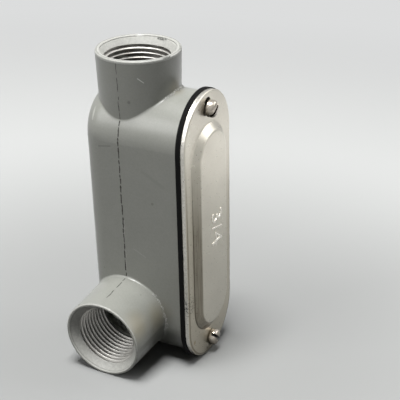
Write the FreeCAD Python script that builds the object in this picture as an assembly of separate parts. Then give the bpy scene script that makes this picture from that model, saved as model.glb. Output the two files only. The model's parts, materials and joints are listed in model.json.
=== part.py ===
"""Right-outlet conduit body for 3/4 trade size conduit: a die-cast housing with a threaded hub
on its top end and another on its left side, a rubber gasket, a pressed sheet cover and the two
slotted screws that hold the cover.

Millimetres, +Z up along the end hub. The cover faces -Y and the side hub points to -X. Each piece
is modelled about the point where the two hub axes cross, and is then moved so that the origin is
the centre of the footprint, at the height of the lowest edge. Both pipe threads are left out: each
hub has the plain wall that their roots lie on.
"""

import FreeCAD, Part
import math
import os

Vector = FreeCAD.Vector
ALONG_Y = Vector(0, 1, 0)

# Hubs, alike inside: an entrance cone, the threaded length, a shoulder and a smooth throat
thread_root_radius = 13.3
thread_depth = 19.8          # mouth to the shoulder that stops the conduit
entrance_step = 1.1          # start of the entrance cone, outside the thread's roots
entrance_lip = 0.45          # broken inner edge of the flat rim
entrance_angle = 41.0        # degrees from the hub's axis
throat_step = 2.9            # smooth throat, inside the thread's roots
throat_length = 3.0
throat_flare = 1.3           # opens towards the cavity, so that wires slide over it
rim_width = 0.79             # from the broken inner edge to the outside of a mouth
rim_outer_break = 0.45       # edge round the outside of a mouth
end_hub_taper = 0.5          # how much narrower the end hub is at its root than at its mouth
side_hub_flare = 0.66        # how much wider the side hub is at its root than at its mouth
end_hub_stand_out = 13.7     # mouth above the top of the round end

# Housing casting: a long box with half-round ends
end_spacing = 74.5           # between the centres of the two half-round ends
lower_end_drop = 1.91        # centre of the lower round end, below the side hub's axis
side_margin = 1.75           # each side beyond the mouth of the end hub
back_margin = 0.3            # back face beyond the root of the side hub
front_depth = 23.76          # parting plane to the face that the gasket lies on
side_draft = 0.6             # degrees, the sides narrow both ways from the parting plane
back_round = 8.0             # rounded edge all round the back face
front_break = 0.4            # outer edge of the gasket face
wall = 2.6                   # side walls, at the parting plane
back_wall = 2.8
core_draft = 0.5             # degrees, the cavity widens towards the cover
cavity_back_slope = 4.0      # sloping corner between the back wall and the side walls

# Gasket, screws and cover
gasket_thickness = 1.9
gasket_overhang = 1.3        # beyond the sides of the casting
gasket_land = 5.1            # width of the rubber beside its opening
cover_thickness = 1.79
cover_overhang = 0.95        # beyond the sides of the casting
cover_edge_break = 0.3       # die roll on the outer edge of the sheet
panel_side_margin = 4.49     # foot of the raised panel to the side of the cover
panel_end_margin = 11.75     # foot of the raised panel to the end of the cover
panel_rise = 2.2
panel_crest_round = 2.2
panel_foot_round = 1.2
panel_slope = 38.0           # degrees from the plane of the cover

screw_end_margin = 6.1       # screw axis to the end of the cover
screw_radius = 2.08          # number 8 machine screw
screw_length = 12.7          # under the head
screw_tip_chamfer = 0.6
screw_hole_clearance = 0.05  # between the screw and the hole in its boss
gasket_hole_clearance = 0.1
cover_slot_clearance = 0.32  # on each side of the screw in the cover's slot
cover_slot_outward = 1.7     # centre of the slot's outer end, beyond the screw axis
head_radius = 3.15
head_side = 2.3              # height of the head's straight side
head_crown = 1.3             # height of the sloping crown above the straight side
head_top_radius = 1.2        # flat on top of the crown
head_slot_width = 1.15
head_slot_depth = 1.9
head_lift = {"upper": 0.3, "lower": 0.0}          # the upper screw isn't run fully home
head_slot_turn = {"upper": 35.0, "lower": -50.0}  # degrees from +X towards +Z
boss_radius = 4.7
boss_depth = 10.4
screw_hole_depth = 9.6
past = 1.5                   # how far a cutting shape reaches beyond the face it opens

# Sizes and places that follow
entrance_radius = thread_root_radius + entrance_step
throat_radius = thread_root_radius - throat_step
hub_mouth_radius = entrance_radius + entrance_lip + rim_width
end_hub_root_radius = hub_mouth_radius - end_hub_taper
side_hub_root_radius = hub_mouth_radius + side_hub_flare
body_half_width = hub_mouth_radius + side_margin      # at the parting plane, which holds both axes
back_depth = side_hub_root_radius + back_margin
gasket_half_width = body_half_width + gasket_overhang
cover_half_width = body_half_width + cover_overhang
panel_half_width = cover_half_width - panel_side_margin
lower_centre = -lower_end_drop
upper_centre = lower_centre + end_spacing
cavity_half_width = body_half_width - wall
hub_length = thread_depth + throat_length
side_mouth_x = -(cavity_half_width + hub_length)
end_mouth_z = upper_centre + body_half_width + end_hub_stand_out
cavity_top_z = end_mouth_z - hub_length
front_y = -front_depth
boss_back_y = front_y + boss_depth
gasket_front_y = front_y - gasket_thickness
cover_front_y = gasket_front_y - cover_thickness
screw_z = {
    "upper": upper_centre + cover_half_width - screw_end_margin,
    "lower": lower_centre - cover_half_width + screw_end_margin,
}
outward = {"upper": 1, "lower": -1}
tallest_head_y = cover_front_y - max(head_lift.values()) - head_side - head_crown
footprint_centre = Vector(
    (side_mouth_x + gasket_half_width) / 2,
    (tallest_head_y + back_depth) / 2,
    lower_centre - gasket_half_width,
)


def polyline(points):
    """Straight edges through the points."""
    return [Part.makeLine(a, b) for a, b in zip(points, points[1:])]


def arc(start, middle, end):
    return Part.Arc(start, middle, end).toShape()


def flat(width, depth):
    """A point of a cross-section: half-width along X, depth along Y."""
    return Vector(width, depth, 0)


def racetrack(outline, low, high):
    """Solid with straight sides and round ends: half a cross-section, closed along the Y axis,
    swept straight from z = low to z = high and turned half a circle about each end."""
    half = Part.Face(Part.Wire(outline))
    other_half = half.mirror(Vector(0, 0, 0), Vector(1, 0, 0))
    straight = Vector(0, 0, high - low)
    pieces = []
    for face in (half, other_half):
        at_low = face.translated(Vector(0, 0, low))
        pieces.append(at_low.extrude(straight))
    for z, turn in ((high, -180), (low, 180)):
        at_end = half.translated(Vector(0, 0, z))
        pieces.append(at_end.revolve(Vector(0, 0, z), ALONG_Y, turn))
    return pieces[0].multiFuse(pieces[1:]).removeSplitter()


def plate(half_width, back_y, front, low, high):
    """Flat racetrack between two depths."""
    corners = [flat(0, back_y), flat(half_width, back_y), flat(half_width, front), flat(0, front)]
    return racetrack(polyline(corners + corners[:1]), low, high)


def turned(outline):
    """Solid of revolution about the X axis, from a closed outline."""
    return Part.Face(Part.Wire(outline)).revolve(Vector(0, 0, 0), Vector(1, 0, 0), 360)


def along_x(distance, radius):
    return Vector(distance, radius, 0)


def upright(shape):
    """Turns a solid made along +X so that it points to +Z."""
    return shape.rotated(Vector(0, 0, 0), ALONG_Y, -90)


def outer_body():
    """The casting without hubs: sides drafted from the parting plane, rounded back edge."""
    narrow = math.tan(math.radians(side_draft))
    back_half_width = body_half_width - narrow * (back_depth - back_round)
    front_half_width = body_half_width - narrow * front_depth
    flat_back = back_half_width - back_round
    bulge = back_round * math.sqrt(0.5)
    outline = polyline([
        flat(0, back_depth),
        flat(0, front_y),
        flat(front_half_width - front_break, front_y),
        flat(front_half_width, front_y + front_break),
        flat(body_half_width, 0),
        flat(back_half_width, back_depth - back_round),
    ])
    outline.append(arc(
        flat(back_half_width, back_depth - back_round),
        flat(flat_back + bulge, back_depth - back_round + bulge),
        flat(flat_back, back_depth),
    ))
    outline += polyline([flat(flat_back, back_depth), flat(0, back_depth)])
    return racetrack(outline, lower_centre, upper_centre)


def hub_outside(root_radius, root, mouth):
    """Drafted hub along +X from a root inside the casting to its mouth. The draft is set by the
    radius where the hub leaves the casting's side, one wall out from the cavity."""
    leaves = mouth - hub_length + wall
    slope = (hub_mouth_radius - root_radius) / (mouth - leaves)
    inner_radius = root_radius + slope * (root - leaves)
    return turned(polyline([
        along_x(mouth, 0),
        along_x(root, 0),
        along_x(root, inner_radius),
        along_x(mouth - rim_outer_break, hub_mouth_radius - slope * rim_outer_break),
        along_x(mouth, hub_mouth_radius - rim_outer_break),
        along_x(mouth, 0),
    ]))


def hub_inside():
    """What is bored out of a hub, along +X with its mouth at the origin: past the mouth, the broken
    edge of the rim, the entrance cone, the threaded length, the throat and its flare into the cavity."""
    cone_length = (entrance_radius - thread_root_radius) / math.tan(math.radians(entrance_angle))
    rim_radius = entrance_radius + entrance_lip
    flared = throat_radius + throat_flare
    return turned(polyline([
        along_x(past, 0),
        along_x(past, rim_radius),
        along_x(0, rim_radius),
        along_x(-entrance_lip, entrance_radius),
        along_x(-entrance_lip - cone_length, thread_root_radius),
        along_x(-thread_depth, thread_root_radius),
        along_x(-thread_depth, throat_radius),
        along_x(throat_flare - hub_length, throat_radius),
        along_x(-hub_length, flared),
        along_x(-hub_length - past, flared),
        along_x(-hub_length - past, 0),
        along_x(past, 0),
    ]))


def cavity():
    """The wireway inside the casting: open at the front, flat at its top where the end hub comes
    in, with a pocket at each end round the boss of a cover screw."""
    widen = math.tan(math.radians(core_draft))
    back_y = back_depth - back_wall
    proud_y = front_y - past
    side_end_y = back_y - cavity_back_slope
    outline = polyline([
        flat(0, proud_y),
        flat(cavity_half_width - widen * proud_y, proud_y),
        flat(cavity_half_width - widen * side_end_y, side_end_y),
        flat(cavity_half_width - widen * side_end_y - cavity_back_slope, back_y),
        flat(0, back_y),
        flat(0, proud_y),
    ])
    hollow = racetrack(outline, lower_centre, upper_centre)
    across = 4 * body_half_width
    hub_block = Part.makeBox(across, across, across, Vector(-across / 2, boss_back_y, cavity_top_z))
    hollow = hollow.cut(hub_block)
    for end in screw_z:
        hollow = hollow.cut(boss(end))
    return hollow


def boss(end):
    """Material left round a cover screw, joined to the end wall behind it."""
    z = screw_z[end]
    start_y = front_y - 2 * past
    length = boss_depth + 2 * past
    post = Part.makeCylinder(boss_radius, length, Vector(0, start_y, z), ALONG_Y)
    width = 2 * boss_radius
    web_low = z if outward[end] > 0 else z - width
    web = Part.makeBox(width, length, width, Vector(-boss_radius, start_y, web_low))
    return post.fuse(web)


def screw_hole(end):
    """Blind hole in a boss, open at the gasket face."""
    radius = screw_radius + screw_hole_clearance
    start = Vector(0, front_y - past, screw_z[end])
    return Part.makeCylinder(radius, screw_hole_depth + past, start, ALONG_Y)


def housing():
    """Die-cast housing: body, end hub and side hub in one piece."""
    end_hub = upright(hub_outside(end_hub_root_radius, upper_centre, end_mouth_z))
    side_hub = hub_outside(side_hub_root_radius, body_half_width / 2, -side_mouth_x)
    side_hub = side_hub.rotated(Vector(0, 0, 0), Vector(0, 0, 1), 180)
    solid = outer_body().fuse([end_hub, side_hub])
    end_bore = upright(hub_inside()).translated(Vector(0, 0, end_mouth_z))
    side_bore = hub_inside().rotated(Vector(0, 0, 0), Vector(0, 0, 1), 180)
    side_bore = side_bore.translated(Vector(side_mouth_x, 0, 0))
    holes = [screw_hole(end) for end in screw_z]
    return solid.cut([cavity(), end_bore, side_bore] + holes)


def gasket():
    """Flat rubber gasket, open over the cavity and pierced for the two screws."""
    sheet = plate(gasket_half_width, front_y, gasket_front_y, lower_centre, upper_centre)
    opening_half_width = gasket_half_width - gasket_land
    reach = boss_radius + opening_half_width
    window = plate(
        opening_half_width, front_y + past, gasket_front_y - past,
        screw_z["lower"] + reach, screw_z["upper"] - reach,
    )
    sheet = sheet.cut(window)
    for z in screw_z.values():
        start = Vector(0, gasket_front_y - past, z)
        radius = screw_radius + gasket_hole_clearance
        sheet = sheet.cut(Part.makeCylinder(radius, gasket_thickness + 2 * past, start, ALONG_Y))
    return sheet


def panel_top():
    """Closed half cross-section of the raised panel: a flat top, a rounded crest, a straight slope
    and a rounded foot that runs out flat on the cover. It is closed inside the sheet."""
    slope = math.radians(panel_slope)
    rounds = panel_crest_round + panel_foot_round
    straight = (panel_rise - rounds * (1 - math.cos(slope))) / math.sin(slope)
    flat_half_width = panel_half_width - rounds * math.sin(slope) - straight * math.cos(slope)
    top_y = cover_front_y - panel_rise
    inside_y = cover_front_y + cover_thickness / 2

    def crest_point(angle):
        along = flat_half_width + panel_crest_round * math.sin(angle)
        return flat(along, top_y + panel_crest_round * (1 - math.cos(angle)))

    def foot_point(angle):
        along = panel_half_width - panel_foot_round * math.sin(angle)
        return flat(along, cover_front_y - panel_foot_round * (1 - math.cos(angle)))

    outline = polyline([flat(0, inside_y), flat(0, top_y), crest_point(0)])
    outline.append(arc(crest_point(0), crest_point(slope / 2), crest_point(slope)))
    outline += polyline([crest_point(slope), foot_point(slope)])
    outline.append(arc(foot_point(slope), foot_point(slope / 2), foot_point(0)))
    outline += polyline([foot_point(0), flat(panel_half_width, inside_y), flat(0, inside_y)])
    return outline


def panel_recess():
    """Closed half cross-section of the hollow under the panel, one sheet thickness below it, with
    plain corners. It is closed in front of the gasket's face, outside the sheet."""
    slope = math.radians(panel_slope)
    lean = cover_thickness * math.tan(slope / 2)
    foot_half_width = panel_half_width - panel_foot_round * math.tan(slope / 2) - lean
    run = panel_rise / math.tan(slope)
    top_y = gasket_front_y - panel_rise
    open_y = gasket_front_y + past
    return polyline([
        flat(0, top_y),
        flat(foot_half_width - run, top_y),
        flat(foot_half_width, gasket_front_y),
        flat(foot_half_width, open_y),
        flat(0, open_y),
        flat(0, top_y),
    ])


def cover():
    """Sheet cover with a raised panel pressed into it, hollow underneath, and two screw slots."""
    sheet = racetrack(polyline([
        flat(0, gasket_front_y),
        flat(cover_half_width, gasket_front_y),
        flat(cover_half_width, cover_front_y + cover_edge_break),
        flat(cover_half_width - cover_edge_break, cover_front_y),
        flat(0, cover_front_y),
        flat(0, gasket_front_y),
    ]), lower_centre, upper_centre)
    end_inset = cover_half_width - panel_end_margin - panel_half_width
    panel_low = lower_centre - end_inset
    panel_high = upper_centre + end_inset
    sheet = sheet.fuse(racetrack(panel_top(), panel_low, panel_high)).removeSplitter()
    sheet = sheet.cut(racetrack(panel_recess(), panel_low, panel_high))
    slot_half_width = screw_radius + cover_slot_clearance
    for end, z in screw_z.items():
        outer_z = z + outward[end] * cover_slot_outward
        low, high = sorted((z, outer_z))
        sheet = sheet.cut(plate(slot_half_width, gasket_front_y + past, cover_front_y - past, low, high))
    return sheet


def cover_screw(end):
    """Slotted cheese-head machine screw, made along +X from the seat of its head."""
    crown = head_side + head_crown
    screw = turned(polyline([
        along_x(crown, 0),
        along_x(-screw_length, 0),
        along_x(-screw_length, screw_radius - screw_tip_chamfer),
        along_x(screw_tip_chamfer - screw_length, screw_radius),
        along_x(0, screw_radius),
        along_x(0, head_radius),
        along_x(head_side, head_radius),
        along_x(crown, head_top_radius),
        along_x(crown, 0),
    ]))
    slot = Part.makeBox(
        head_slot_depth + past, head_slot_width, 4 * head_radius,
        Vector(crown - head_slot_depth, -head_slot_width / 2, -2 * head_radius),
    )
    screw = screw.cut(slot)
    screw = screw.rotated(Vector(0, 0, 0), Vector(0, 0, 1), -90)
    screw = screw.rotated(Vector(0, 0, 0), ALONG_Y, 90 - head_slot_turn[end])
    return screw.translated(Vector(0, cover_front_y - head_lift[end], screw_z[end]))


pieces = {
    "housing": housing(),
    "gasket": gasket(),
    "cover": cover(),
    "upper_cover_screw": cover_screw("upper"),
    "lower_cover_screw": cover_screw("lower"),
}

os.makedirs("parts", exist_ok=True)
for name, shape in pieces.items():
    placed = shape.translated(footprint_centre.negative())
    solid = placed.Solids[0]
    print(name, "solids", len(placed.Solids), "valid", placed.isValid(), "cm3 %.2f" % (placed.Volume / 1000))
    solid.exportStep(os.path.join("parts", name + ".step"))
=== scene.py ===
"""A right-outlet conduit body: a grey painted die casting with two threaded hubs, a black rubber
gasket, a pressed sheet cover and its two slotted screws. It leans on its lower end and the rim of
its side hub. Metres; +Z runs up the end hub and the cover faces -Y."""

import json
import math
import random

import bmesh
import bpy
from mathutils import Matrix, Quaternion, Vector, noise

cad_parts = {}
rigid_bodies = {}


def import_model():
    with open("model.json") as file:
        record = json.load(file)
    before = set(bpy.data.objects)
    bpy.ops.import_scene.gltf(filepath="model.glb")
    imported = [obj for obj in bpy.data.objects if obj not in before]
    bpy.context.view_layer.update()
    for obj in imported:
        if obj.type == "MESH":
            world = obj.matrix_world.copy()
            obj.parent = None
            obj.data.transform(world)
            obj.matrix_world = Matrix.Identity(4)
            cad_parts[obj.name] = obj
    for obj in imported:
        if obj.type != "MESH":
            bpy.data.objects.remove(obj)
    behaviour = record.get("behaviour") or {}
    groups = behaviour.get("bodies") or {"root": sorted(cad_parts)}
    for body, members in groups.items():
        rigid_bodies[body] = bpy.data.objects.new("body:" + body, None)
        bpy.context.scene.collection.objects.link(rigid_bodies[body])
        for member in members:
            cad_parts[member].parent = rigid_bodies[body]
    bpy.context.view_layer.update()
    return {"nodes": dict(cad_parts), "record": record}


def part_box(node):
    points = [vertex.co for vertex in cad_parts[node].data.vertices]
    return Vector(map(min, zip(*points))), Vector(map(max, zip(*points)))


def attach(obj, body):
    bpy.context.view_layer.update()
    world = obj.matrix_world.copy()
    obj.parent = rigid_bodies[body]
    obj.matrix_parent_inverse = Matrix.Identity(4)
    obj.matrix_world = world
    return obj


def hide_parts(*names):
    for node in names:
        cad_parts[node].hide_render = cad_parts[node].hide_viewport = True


for leftover in list(bpy.data.objects):
    bpy.data.objects.remove(leftover)
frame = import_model()


# Housing. One aluminium die casting: a long box with half-round ends, an end hub and a side hub,
# blasted and spray painted light grey. The two die halves met in the plane of the hub axes. The
# CAD solid has its true outside and keeps its mesh; this section gives it its paint.
mm = 0.001
mounts = {mount["name"]: mount for mount in frame["record"]["mounts"]}
housing_low, housing_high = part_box("housing")
hub_axes = Vector((*mounts["end_hub"]["pos_m"][:2], mounts["side_hub"]["pos_m"][2]))
body_half_width = housing_high.x - hub_axes.x
round_end_spacing = 74.5 * mm
lower_centre_z = housing_low.z + body_half_width
upper_centre_z = lower_centre_z + round_end_spacing


def linear(code):
    """An sRGB hex value as the linear colour that shaders take."""
    channels = [int(code[i:i + 2], 16) / 255 for i in (1, 3, 5)]
    return [c / 12.92 if c <= 0.04045 else ((c + 0.055) / 1.055) ** 2.4 for c in channels] + [1.0]


def add(tree, kind, sockets=None, **settings):
    """Adds a node, sets its properties, and gives its sockets values or links."""
    node = tree.nodes.new(kind)
    for name, value in settings.items():
        setattr(node, name, value)
    for name, value in (sockets or {}).items():
        if isinstance(value, bpy.types.NodeSocket):
            tree.links.new(value, node.inputs[name])
        else:
            node.inputs[name].default_value = value
    return node


def new_material(name):
    """An empty material with its output: returns it, its node tree and the object coordinates."""
    material = bpy.data.materials.new(name)
    material.use_nodes = True
    tree = material.node_tree
    tree.nodes.clear()
    where = add(tree, "ShaderNodeTexCoord").outputs["Object"]
    return material, tree, where


def finish_material(tree, shader):
    """Puts the shader on the material's output."""
    add(tree, "ShaderNodeOutputMaterial", {"Surface": shader.outputs[0]})


def patch(tree, where, centre, reach, soft):
    """A factor of 1 within reach of a place, falling to 0 over the distance soft."""
    away = add(tree, "ShaderNodeVectorMath", {0: where, 1: centre}, operation="DISTANCE")
    return add(tree, "ShaderNodeMapRange", {
        "Value": away.outputs["Value"], "From Min": reach, "From Max": reach + soft,
        "To Min": 1.0, "To Max": 0.0,
    }, interpolation_type="SMOOTHSTEP").outputs["Result"]


def stroke(tree, where, start, end, reach):
    """A factor of 1 on a straight stroke between two points, falling to 0 at a distance from it."""
    start, end = Vector(start), Vector(end)
    run = end - start
    offset = add(tree, "ShaderNodeVectorMath", {0: where, 1: start}, operation="SUBTRACT").outputs[0]
    along = add(tree, "ShaderNodeVectorMath", {
        0: offset, 1: run / run.length_squared,
    }, operation="DOT_PRODUCT").outputs["Value"]
    held = add(tree, "ShaderNodeClamp", {"Value": along}).outputs[0]
    foot = add(tree, "ShaderNodeVectorMath", {0: run, "Scale": held}, operation="SCALE").outputs[0]
    away = add(tree, "ShaderNodeVectorMath", {0: offset, 1: foot}, operation="DISTANCE").outputs["Value"]
    return add(tree, "ShaderNodeMapRange", {
        "Value": away, "From Min": reach / 3, "From Max": reach, "To Min": 1.0, "To Max": 0.0,
    }, interpolation_type="SMOOTHSTEP").outputs[0]


def from_axes(x, y, z):
    """A place in millimetres from the point where the hub axes cross."""
    return hub_axes + Vector((x, y, z)) * mm


# Polyester powder paint on aluminium: satin, with a fine orange peel, slight cloudiness, pinhole
# specks of dirt, a brown thumb smudge on the side hub, and a few light scratches and dark rubs.
paint, tree, where = new_material("grey_powder_paint")
clouds = add(tree, "ShaderNodeTexNoise", {"Vector": where, "Scale": 70.0, "Detail": 4.0, "Roughness": 0.6})
grain = add(tree, "ShaderNodeTexNoise", {"Vector": where, "Scale": 1600.0})
tone = add(tree, "ShaderNodeMix", {
    "Factor": clouds.outputs["Fac"], 6: linear("#82837d"), 7: linear("#8a8b85"),
}, data_type="RGBA")
fine_tone = add(tree, "ShaderNodeMix", {
    "Factor": grain.outputs["Fac"], 6: linear("#d8d8d6"), 7: linear("#ffffff"),
}, data_type="RGBA")
toned = add(tree, "ShaderNodeMix", {
    "Factor": 0.6, 6: tone.outputs[2], 7: fine_tone.outputs[2],
}, data_type="RGBA", blend_type="MULTIPLY")
dirt = add(tree, "ShaderNodeTexVoronoi", {"Vector": where, "Scale": 170.0})
dirt_size = add(tree, "ShaderNodeTexNoise", {"Vector": where, "Scale": 110.0, "Detail": 1.0})
dirt_reach = add(tree, "ShaderNodeMapRange", {
    "Value": dirt_size.outputs["Fac"], "From Min": 0.56, "From Max": 0.72, "To Max": 0.11,
})
dirt_spot = add(tree, "ShaderNodeMath", {
    0: dirt.outputs["Distance"], 1: dirt_reach.outputs["Result"],
}, operation="LESS_THAN")
dirt_amount = add(tree, "ShaderNodeMath", {0: dirt_spot.outputs[0], 1: 0.5}, operation="MULTIPLY")
specked = add(tree, "ShaderNodeMix", {
    "Factor": dirt_amount.outputs[0], 6: toned.outputs[2], 7: linear("#5b5a54"),
}, data_type="RGBA")
worn = specked.outputs[2]

# A smudge has a place, its reach and soft edge in millimetres, its strength and its colour. A rub
# runs between two places, and has a reach, a strength and a colour.
smudges = [
    ((-33.2, -13.8, 7.7), 0.5, 8.0, 0.75, "#76705c"),
    ((-21.7, -15.3, 4.5), 0.5, 8.0, 0.6, "#76705c"),
    ((-1.1, -15.2, 91.0), 1.0, 4.0, 0.4, "#7d7560"),
    ((-14.8, -3.9, 88.4), 0.2, 0.7, 0.5, "#4c4c48"),
]
rubs = [
    ((-13.7, -7.3, 97.4), (-12.6, -9.1, 95.7), 0.26, 0.6, "#d9d9d3"),
    ((-13.7, -7.6, 96.9), (-12.7, -9.2, 95.2), 0.3, 0.35, "#4c4c48"),
    ((-15.6, 11.9, 79.8), (-13.1, 11.9, 83.8), 0.8, 0.5, "#c9c9c3"),
    ((-17.3, 8.4, 70.4), (-17.3, 3.5, 71.3), 0.35, 0.45, "#4c4c48"),
    ((-17.3, -9.4, 63.5), (-17.2, -17.8, 58.8), 0.9, 0.12, "#4c4c48"),
    ((-17.3, -4.0, 30.0), (-17.3, -9.0, 27.5), 0.3, 0.12, "#c9c9c3"),
]
marks = [
    (patch(tree, where, from_axes(*centre), reach * mm, soft * mm), amount, tone_code)
    for centre, reach, soft, amount, tone_code in smudges
]
marks += [
    (stroke(tree, where, from_axes(*start), from_axes(*end), reach * mm), amount, tone_code)
    for start, end, reach, amount, tone_code in rubs
]
for factor, amount, tone_code in marks:
    strength = add(tree, "ShaderNodeMath", {0: factor, 1: amount}, operation="MULTIPLY").outputs[0]
    worn = add(tree, "ShaderNodeMix", {
        "Factor": strength, 6: worn, 7: linear(tone_code),
    }, data_type="RGBA").outputs[2]
peel = add(tree, "ShaderNodeTexNoise", {"Vector": where, "Scale": 900.0, "Detail": 3.0, "Roughness": 0.55})
peel_bump = add(tree, "ShaderNodeBump", {
    "Height": peel.outputs["Fac"], "Strength": 0.25, "Distance": 0.02 * mm,
})
gloss = add(tree, "ShaderNodeMapRange", {
    "Value": clouds.outputs["Fac"], "From Min": 0.3, "From Max": 0.7, "To Min": 0.28, "To Max": 0.36,
})
paint_shader = add(tree, "ShaderNodeBsdfPrincipled", {
    "Base Color": worn, "Roughness": gloss.outputs["Result"], "Normal": peel_bump.outputs[0],
})
finish_material(tree, paint_shader)
frame["nodes"]["housing"].data.materials[0] = paint


# Hub roots. The casting has a small round where each hub grows out of the box. The beads here
# follow the curve where the hub's drafted side meets the box and blend the two surfaces.
side_draft = math.tan(math.radians(0.6))
back_round = 8.0 * mm
back_face = housing_high.y - hub_axes.y
end_mouth_z = housing_high.z
side_mouth_x = housing_low.x
hub_mouth_radius = 15.64 * mm
hub_root_radius = {"end": 15.14 * mm, "side": 16.3 * mm}
hub_side_length = 20.2 * mm
mouth_reach = {"end": end_mouth_z - hub_axes.z, "side": hub_axes.x - side_mouth_x}


def half_width(depth):
    """Half the box's width at a distance behind the hub axes."""
    into_round = depth - (back_face - back_round)
    if into_round <= 0:
        return body_half_width - side_draft * abs(depth)
    flat_back = body_half_width - side_draft * (back_face - back_round) - back_round
    return flat_back + math.sqrt(max(back_round ** 2 - into_round ** 2, 0))


def hub_side_radius(hub, from_mouth):
    """The radius of a hub's drafted outside, at a distance from its mouth."""
    return hub_mouth_radius + (hub_root_radius[hub] - hub_mouth_radius) * from_mouth / hub_side_length


def box_height(across, depth):
    """How far the box's upper end reaches along the end hub, measured from the hub axes."""
    return upper_centre_z - hub_axes.z + math.sqrt(max(half_width(depth) ** 2 - across ** 2, 0))


def box_side(along_end_hub, depth):
    """How far the box's side reaches along the side hub, measured from the hub axes."""
    below = min(along_end_hub - (lower_centre_z - hub_axes.z), 0)
    return math.sqrt(max(half_width(depth) ** 2 - below ** 2, 0))


def place_on_hub(hub, radius, angle, reach):
    """A point beside a hub's axis: angle is measured about the axis, reach along it."""
    if hub == "end":
        return hub_axes + Vector((radius * math.cos(angle), radius * math.sin(angle), reach))
    return hub_axes + Vector((-reach, radius * math.sin(angle), radius * math.cos(angle)))


def box_reach(hub, radius, angle):
    """Where the box's skin lies along a hub, at a place beside its axis."""
    if hub == "end":
        return box_height(radius * math.cos(angle), radius * math.sin(angle))
    return box_side(radius * math.cos(angle), radius * math.sin(angle))


def made_object(name, bm):
    """An object in the scene with the mesh that bm has built."""
    mesh = bpy.data.meshes.new(name)
    bm.to_mesh(mesh)
    bm.free()
    thing = bpy.data.objects.new(name, mesh)
    bpy.context.collection.objects.link(thing)
    return thing


def new_piece(name, bm, materials, smooth_angle):
    """Makes a piece of bm that rides on the one body, and gives it its materials."""
    bmesh.ops.recalc_face_normals(bm, faces=bm.faces)
    piece = made_object(name, bm)
    mesh = piece.data
    for material in materials:
        mesh.materials.append(material)
    mesh.polygons.foreach_set("use_smooth", [True] * len(mesh.polygons))
    mesh.set_sharp_from_angle(angle=math.radians(smooth_angle))
    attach(piece, "root")
    return piece


def ring_edges(bm, ring):
    """The edges that have both ends on a ring of vertices."""
    members = set(ring)
    return [e for e in bm.edges if all(v in members for v in e.verts)]


def root_bead(hub, size):
    """A closed bead round the foot of a hub: a concave blend outside, sunk into the metal inside."""
    around, across = 180, 7
    tuck, sunk = 0.02 * mm, 0.6 * mm
    noise_row = 0.5 if hub == "end" else 4.5
    bm = bmesh.new()
    rings = [bmesh.ops.create_circle(bm, segments=around, radius=1.0)["verts"]]
    for _ in range(across):
        grown = bmesh.ops.extrude_edge_only(bm, edges=ring_edges(bm, rings[-1]))["geom"]
        rings.append([v for v in grown if isinstance(v, bmesh.types.BMVert)])
    for loop in rings:
        loop.sort(key=lambda v: math.atan2(v.co.y, v.co.x))
    for index in range(around):
        angle = 2 * math.pi * index / around
        radius = hub_side_radius(hub, mouth_reach[hub] - box_reach(hub, hub_root_radius[hub], angle))
        foot = box_reach(hub, radius, angle)
        wide = size * (0.85 + 0.3 * noise.noise(Vector((angle * 3, noise_row, 0))))
        outer = radius + wide
        if hub == "side" and outer * math.sin(angle) > back_face - 0.1 * mm:
            outer = radius + 0.05 * mm   # almost no room there before the back face
        start = (radius - tuck, foot + wide)
        corner = (radius, foot)
        end = (outer, box_reach(hub, outer, angle) - tuck)
        for step in range(across):
            t = step / (across - 1)
            mix = [(1 - t) ** 2 * a + 2 * t * (1 - t) * b + t ** 2 * c for a, b, c in zip(start, corner, end)]
            rings[step][index].co = place_on_hub(hub, mix[0], angle, mix[1])
        rings[across][index].co = place_on_hub(hub, radius - sunk, angle, foot - sunk)
    bmesh.ops.bridge_loops(bm, edges=ring_edges(bm, rings[0]) + ring_edges(bm, rings[across]))
    return new_piece(hub + "_hub_root", bm, [paint], 60)


root_bead("end", 0.7 * mm)
root_bead("side", 1.1 * mm)

# Thin paint over rough metal looks paler than the paint beside it; wherever this paler paint is used it
# is also in part a painted highlight. The end hub's rim has three dark chips in it: each is two points, a
# reach and a strength.
pale_paint_and_sheen, tree, where = new_material("pale_grey_paint_and_sheen")
thin_noise = add(tree, "ShaderNodeTexNoise", {"Vector": where, "Scale": 1200.0})
pale_tone_and_sheen = add(tree, "ShaderNodeMix", {
    "Factor": thin_noise.outputs["Fac"], 6: linear("#888884"), 7: linear("#aeaea8"),
}, data_type="RGBA")
rim_colour = pale_tone_and_sheen.outputs[2]
chips = [
    (from_axes(-6.3, -13.8, 103.5), from_axes(-4.0, -14.6, 103.4), 0.9 * mm, 0.85),
    (from_axes(4.6, -14.6, 103.5), from_axes(5.8, -14.2, 103.5), 0.5 * mm, 0.6),
    (from_axes(13.6, -0.7, 102.9), from_axes(13.05, -4.0, 102.9), 0.7 * mm, 0.9),
]
chip_noise = add(tree, "ShaderNodeTexNoise", {"Vector": where, "Scale": 1900.0}).outputs["Fac"]
chip_edge = add(tree, "ShaderNodeMapRange", {
    "Value": chip_noise, "From Min": 0.38, "From Max": 0.44,
}).outputs[0]
for start, end, reach, amount in chips:
    chip = add(tree, "ShaderNodeMath", {
        0: stroke(tree, where, start, end, reach), 1: chip_edge,
    }, operation="MULTIPLY").outputs[0]
    strength = add(tree, "ShaderNodeMath", {0: chip, 1: amount}, operation="MULTIPLY").outputs[0]
    rim_colour = add(tree, "ShaderNodeMix", {
        "Factor": strength, 6: rim_colour, 7: linear("#3a3a36"),
    }, data_type="RGBA").outputs[2]
thin_bump = add(tree, "ShaderNodeBump", {
    "Height": thin_noise.outputs["Fac"], "Strength": 0.4, "Distance": 0.06 * mm,
})
thin_shader = add(tree, "ShaderNodeBsdfPrincipled", {
    "Base Color": rim_colour, "Roughness": 0.45, "Normal": thin_bump.outputs[0],
})
finish_material(tree, thin_shader)


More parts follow.
